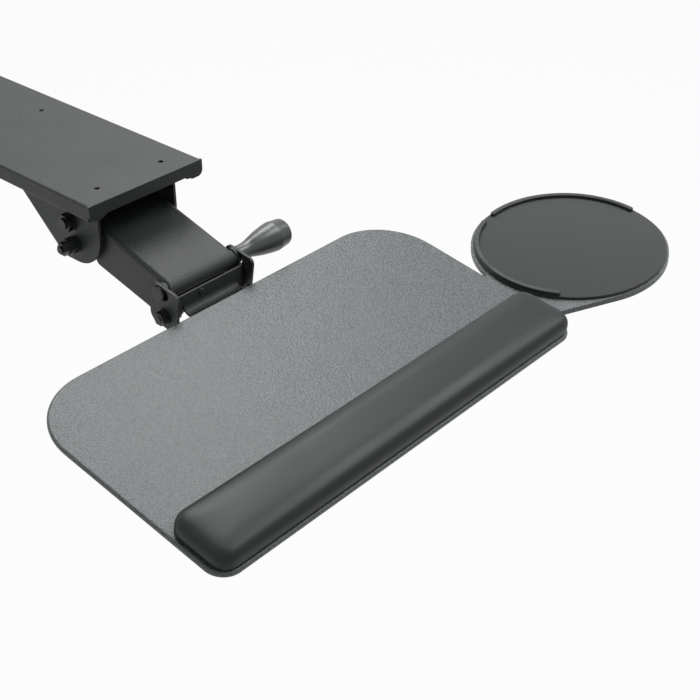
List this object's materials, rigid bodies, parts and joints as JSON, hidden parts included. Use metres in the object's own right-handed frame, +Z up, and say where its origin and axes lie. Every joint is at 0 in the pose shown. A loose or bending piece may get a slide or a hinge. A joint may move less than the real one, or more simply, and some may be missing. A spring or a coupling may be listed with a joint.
{
  "type": "keyboard tray under desk",
  "caption": "Under-desk keyboard tray on a sliding, swivelling parallelogram arm, with palm rest and round mouse platform.",
  "frame": {"origin": "on the swivel axis, in the track's top face that meets the desk's underside", "axes": "+X to the user's right, +Y away from the user under the desk, +Z up"},
  "size_m": [0.747, 0.8246, 0.1577],
  "materials": {
    "powder_coat": "fine textured black powder coat",
    "black_steel": "black oxide, satin",
    "zinc_steel": "zinc plated, satin",
    "glide_plastic": "moulded plastic, matte",
    "rubber": "matte black rubber",
    "knob_plastic": "satin dark grey plastic",
    "board_laminate": "dark grey phenolic board, fine pebbled grain",
    "rest_plastic": "matte black plastic",
    "rest_skin": "smooth black imitation leather over foam, satin",
    "platform_laminate": "dark grey phenolic board, fine pebbled grain",
    "pad_fabric": "dark grey cloth-faced mouse pad",
    "lip_plastic": "satin black plastic"
  },
  "bodies": {
    "track_assembly": {"track": "powder_coat", "front_end_plate": "powder_coat", "front_bumper": "rubber", "rear_bumper": "rubber"},
    "carriage": {"carriage_plate": "zinc_steel", "glide_left": "glide_plastic", "glide_right": "glide_plastic", "swivel_spacer": "glide_plastic", "spindle": "zinc_steel", "spindle_washer": "zinc_steel", "spindle_nut": "zinc_steel"},
    "bracket": {"swivel_bracket": "powder_coat", "rear_shaft": "black_steel", "rear_shaft_nuts": "black_steel", "rear_shaft_washers": "black_steel", "rear_bolt": "black_steel", "rear_bolt_nuts": "black_steel", "rear_bolt_washers": "black_steel"},
    "arm": {"arm_cover": "powder_coat", "arm_rear_sleeve": "black_steel", "arm_front_sleeve": "black_steel"},
    "lower_link": {"lower_link": "powder_coat", "link_rear_bush": "glide_plastic", "link_front_bush": "glide_plastic"},
    "level_link": {"level_link": "powder_coat", "level_rivet": "black_steel", "front_bolt": "black_steel", "front_bolt_nuts": "black_steel", "front_bolt_washers": "black_steel", "clamp_bolt": "black_steel", "knob_washer": "black_steel"},
    "tray": {"head_bracket": "powder_coat", "head_screws": "zinc_steel", "keyboard_board": "board_laminate", "palm_rest_base": "rest_plastic", "palm_rest_pad": "rest_skin", "palm_rest_screws": "zinc_steel", "mount_bracket": "powder_coat", "mount_screws": "zinc_steel", "hinge_pin": "zinc_steel"},
    "knob": {"clamp_knob": "knob_plastic"},
    "mouse_hinge": {"swivel_plate": "powder_coat", "pivot_bolt": "black_steel"},
    "mouse_platform": {"mouse_platform": "platform_laminate", "mouse_pad": "pad_fabric", "mouse_lip_back": "lip_plastic", "mouse_lip_front": "lip_plastic", "friction_washer": "glide_plastic"}
  },
  "joints": [
    {"name": "carriage_slide", "type": "slide", "parent": "track_assembly", "child": "carriage", "axis": [0, 1, 0], "range_m": [0, 0.245]},
    {"name": "bracket_swivel", "type": "hinge", "parent": "carriage", "child": "bracket", "pos_m": [0, 0, -0.019], "axis": [0, 0, 1], "range_deg": [-90, 90]},
    {"name": "arm_height", "type": "hinge", "parent": "bracket", "child": "arm", "pos_m": [0, -0.039, -0.046], "axis": [1, 0, 0], "range_deg": [-18, 25]},
    {"name": "lower_link_pivot", "type": "hinge", "parent": "bracket", "child": "lower_link", "pos_m": [0, -0.044, -0.0705], "axis": [1, 0, 0], "range_deg": [-18, 25]},
    {"name": "level_link_pivot", "type": "hinge", "parent": "arm", "child": "level_link", "pos_m": [0, -0.1729, -0.07938], "axis": [1, 0, 0], "range_deg": [-25, 18]},
    {"name": "tray_tilt", "type": "hinge", "parent": "level_link", "child": "tray", "pos_m": [0, -0.1779, -0.10389], "axis": [1, 0, 0], "range_deg": [-15, 3]},
    {"name": "knob_turn", "type": "hinge", "parent": "level_link", "child": "knob", "pos_m": [0.084, -0.1729, -0.07938], "axis": [1, 0, 0], "range_deg": [-90, 90]},
    {"name": "mouse_tilt", "type": "hinge", "parent": "tray", "child": "mouse_hinge", "pos_m": [0.2105, -0.36354, -0.13762], "axis": [0.8943, 0.4419, 0.07], "range_deg": [0, 9]},
    {"name": "mouse_swivel", "type": "hinge", "parent": "mouse_hinge", "child": "mouse_platform", "pos_m": [0.2105, -0.36203, -0.14711], "axis": [-0.0727, -0.0108, 0.9973], "range_deg": [-20, 60]}
  ],
  "couplings": [
    {"joint": "lower_link_pivot", "follows": "arm_height", "ratio": 1},
    {"joint": "level_link_pivot", "follows": "arm_height", "ratio": -1}
  ]
}
